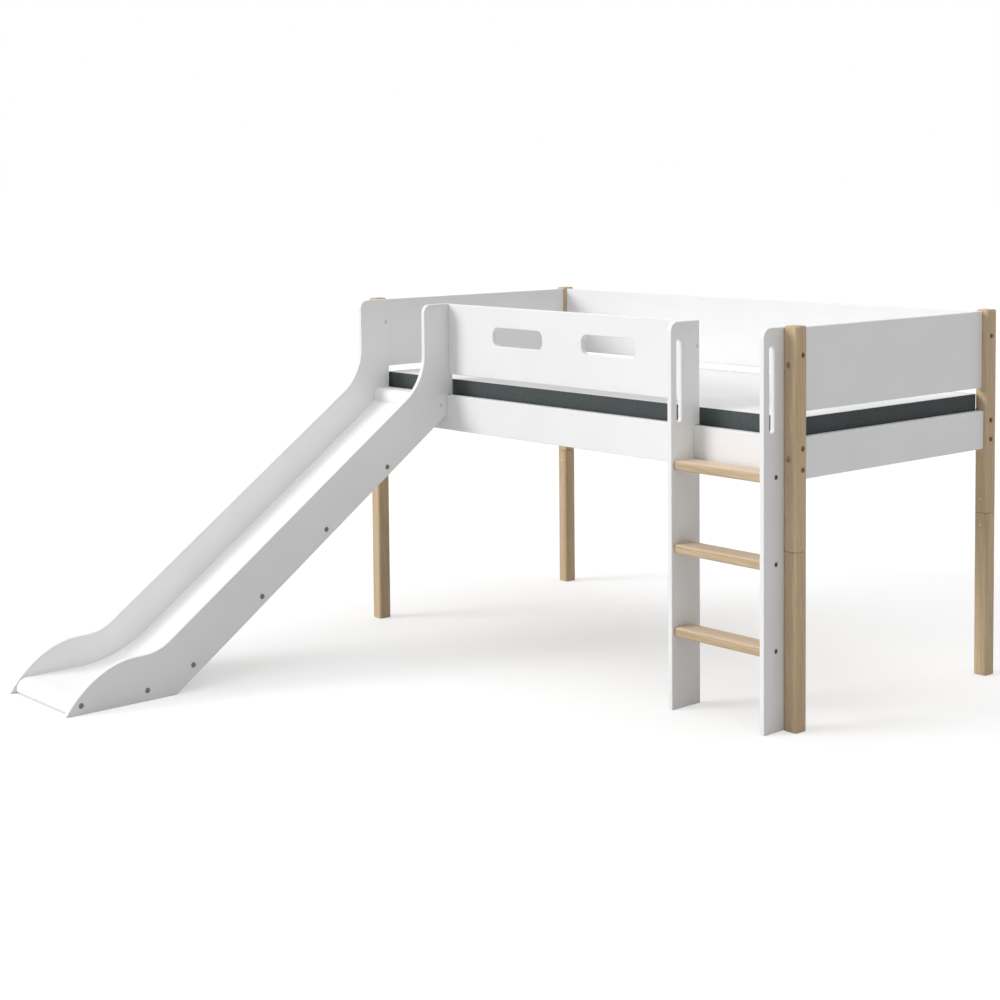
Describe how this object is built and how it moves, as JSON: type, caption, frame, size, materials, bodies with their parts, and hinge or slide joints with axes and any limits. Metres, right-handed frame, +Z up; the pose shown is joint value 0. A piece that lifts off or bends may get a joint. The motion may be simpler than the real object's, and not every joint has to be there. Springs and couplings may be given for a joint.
{
  "type": "loft bed with slide",
  "caption": "Low loft bed with oak posts, white boards with hand holes, a ladder with oak rungs, a straight slide with an upturned foot, slats and a mattress.",
  "frame": {"origin": "on the floor, under the centre of the whole footprint, the slide included", "axes": "+X along the bed from the slide's end to the ladder's end, +Y from the slide's foot to the back, +Z up"},
  "size_m": [2.085, 2.5, 1.208],
  "materials": {
    "oak": "clear matt oil",
    "rung_oak": "clear matt oil",
    "white_lacquer": "white satin lacquer",
    "slat_pine": "planed, untreated",
    "mattress_fabric": "woven cover",
    "dark_bronze": "dark bronze plating",
    "dowel_beech": "planed, untreated"
  },
  "bodies": {
    "frame": {"post_front_left": "oak", "leg_front_left": "oak", "leg_dowel_front_left": "dowel_beech", "post_front_right": "oak", "leg_front_right": "oak", "leg_dowel_front_right": "dowel_beech", "post_back_left": "oak", "leg_back_left": "oak", "leg_dowel_back_left": "dowel_beech", "post_back_right": "oak", "leg_back_right": "oak", "leg_dowel_back_right": "dowel_beech", "rail_front": "white_lacquer", "rail_back": "white_lacquer", "rail_left": "white_lacquer", "rail_right": "white_lacquer", "guard_board": "white_lacquer", "back_board": "white_lacquer", "end_board_left": "white_lacquer", "end_board_right": "white_lacquer", "ladder_side_left": "white_lacquer", "ladder_side_right": "white_lacquer", "slide_side_left": "white_lacquer", "slide_side_right": "white_lacquer", "slide_bed": "white_lacquer", "slide_nosing": "white_lacquer", "slat_ledge_front": "slat_pine", "slat_ledge_back": "slat_pine", "slat_01": "slat_pine", "slat_02": "slat_pine", "slat_03": "slat_pine", "slat_04": "slat_pine", "slat_05": "slat_pine", "slat_06": "slat_pine", "slat_07": "slat_pine", "slat_08": "slat_pine", "slat_09": "slat_pine", "slat_10": "slat_pine", "slat_11": "slat_pine", "slat_12": "slat_pine", "rung_1": "rung_oak", "rung_2": "rung_oak", "rung_3": "rung_oak", "slide_batten_1": "slat_pine", "slide_batten_2": "slat_pine", "slide_batten_3": "slat_pine", "slide_batten_4": "slat_pine", "slide_batten_5": "slat_pine", "slide_batten_6": "slat_pine", "post_bolt_front_right_long_upper": "dark_bronze", "post_bolt_front_right_long_high": "dark_bronze", "post_bolt_front_right_long_low": "dark_bronze", "post_bolt_front_right_end_upper": "dark_bronze", "post_bolt_front_right_end_rail": "dark_bronze", "post_bolt_back_right_long_upper": "dark_bronze", "post_bolt_back_right_long_high": "dark_bronze", "post_bolt_back_right_long_low": "dark_bronze", "post_bolt_front_left_end_upper": "dark_bronze", "post_bolt_front_left_end_rail": "dark_bronze"},
    "mattress": {"mattress": "mattress_fabric"}
  },
  "joints": [
    {"name": "mattress_lift", "type": "slide", "parent": "frame", "child": "mattress", "axis": [0, 0, 1], "range_m": [0, 0.45]}
  ]
}
